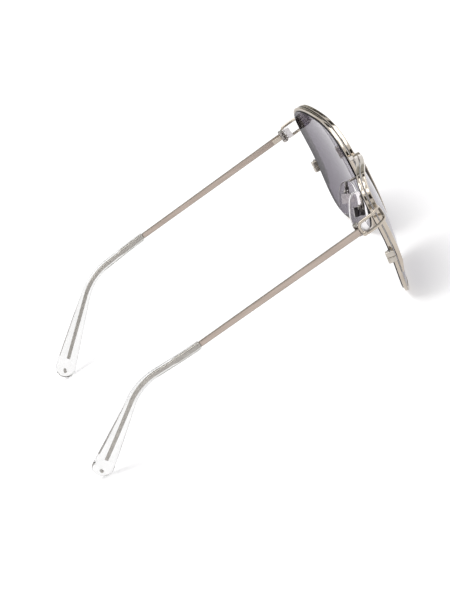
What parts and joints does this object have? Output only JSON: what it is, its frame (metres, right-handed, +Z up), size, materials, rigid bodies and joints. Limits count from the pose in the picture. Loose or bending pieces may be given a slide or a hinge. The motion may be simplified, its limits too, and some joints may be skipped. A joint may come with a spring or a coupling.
{
  "type": "sunglasses",
  "caption": "Metal-framed sunglasses with large rounded-square tinted lenses, looped end pieces, folding flat temples and clear paddle tips.",
  "frame": {"origin": "on the floor under the middle of the bounding box", "axes": "+X to the wearer's left, -Y out of the front, so the temples run to +Y, +Z up as the pair stands on its rims and tips"},
  "size_m": [0.1426, 0.158, 0.0554],
  "materials": {
    "warm_silver": "polished, warm silver plating",
    "dark_ribbed_metal": "ribbed, polished, dark reflections",
    "grey_lilac_lens": "polished tinted lens",
    "clear_acetate": "clear, polished",
    "clear_silicone": "clear, soft, satin"
  },
  "bodies": {
    "front": {"bridge": "warm_silver", "left_eyewire": "warm_silver", "left_rim_trim": "warm_silver", "left_lens": "grey_lilac_lens", "left_rim_lock_upper": "warm_silver", "left_rim_lock_lower": "warm_silver", "left_rim_lock_screw": "warm_silver", "left_end_piece": "warm_silver", "left_hinge_front_leaf": "warm_silver", "left_hinge_rivet": "warm_silver", "left_hinge_screw": "warm_silver", "left_pad_arm": "warm_silver", "left_pad_box": "warm_silver", "left_pad_screw": "warm_silver", "right_eyewire": "warm_silver", "right_rim_trim": "warm_silver", "right_lens": "grey_lilac_lens", "right_rim_lock_upper": "warm_silver", "right_rim_lock_lower": "warm_silver", "right_rim_lock_screw": "warm_silver", "right_end_piece": "warm_silver", "right_hinge_front_leaf": "warm_silver", "right_hinge_rivet": "warm_silver", "right_hinge_screw": "warm_silver", "right_pad_arm": "warm_silver", "right_pad_box": "warm_silver", "right_pad_screw": "warm_silver"},
    "left_temple_arm": {"left_hinge_temple_leaf": "warm_silver", "left_temple": "warm_silver", "left_temple_tip": "clear_acetate", "left_tip_stud": "warm_silver"},
    "left_pad": {"left_pad_plate": "dark_ribbed_metal", "left_nose_pad": "clear_silicone"},
    "right_temple_arm": {"right_hinge_temple_leaf": "warm_silver", "right_temple": "warm_silver", "right_temple_tip": "clear_acetate", "right_tip_stud": "warm_silver"},
    "right_pad": {"right_pad_plate": "dark_ribbed_metal", "right_nose_pad": "clear_silicone"}
  },
  "joints": [
    {"name": "left_temple_fold", "type": "hinge", "parent": "front", "child": "left_temple_arm", "pos_m": [0.06812, -0.0586, 0.04173], "axis": [0, 0.0976, 0.9952], "range_deg": [0, 84]},
    {"name": "right_temple_fold", "type": "hinge", "parent": "front", "child": "right_temple_arm", "pos_m": [-0.06812, -0.0586, 0.04173], "axis": [0, -0.0976, -0.9952], "range_deg": [0, 72]},
    {"name": "left_pad_rock", "type": "hinge", "parent": "front", "child": "left_pad", "pos_m": [0.0114, -0.06756, 0.02663], "axis": [0.1736, 0.9194, 0.3529], "range_deg": [-8, 8]},
    {"name": "right_pad_rock", "type": "hinge", "parent": "front", "child": "right_pad", "pos_m": [-0.0114, -0.06756, 0.02663], "axis": [0.1736, -0.9194, -0.3529], "range_deg": [-8, 8]}
  ]
}
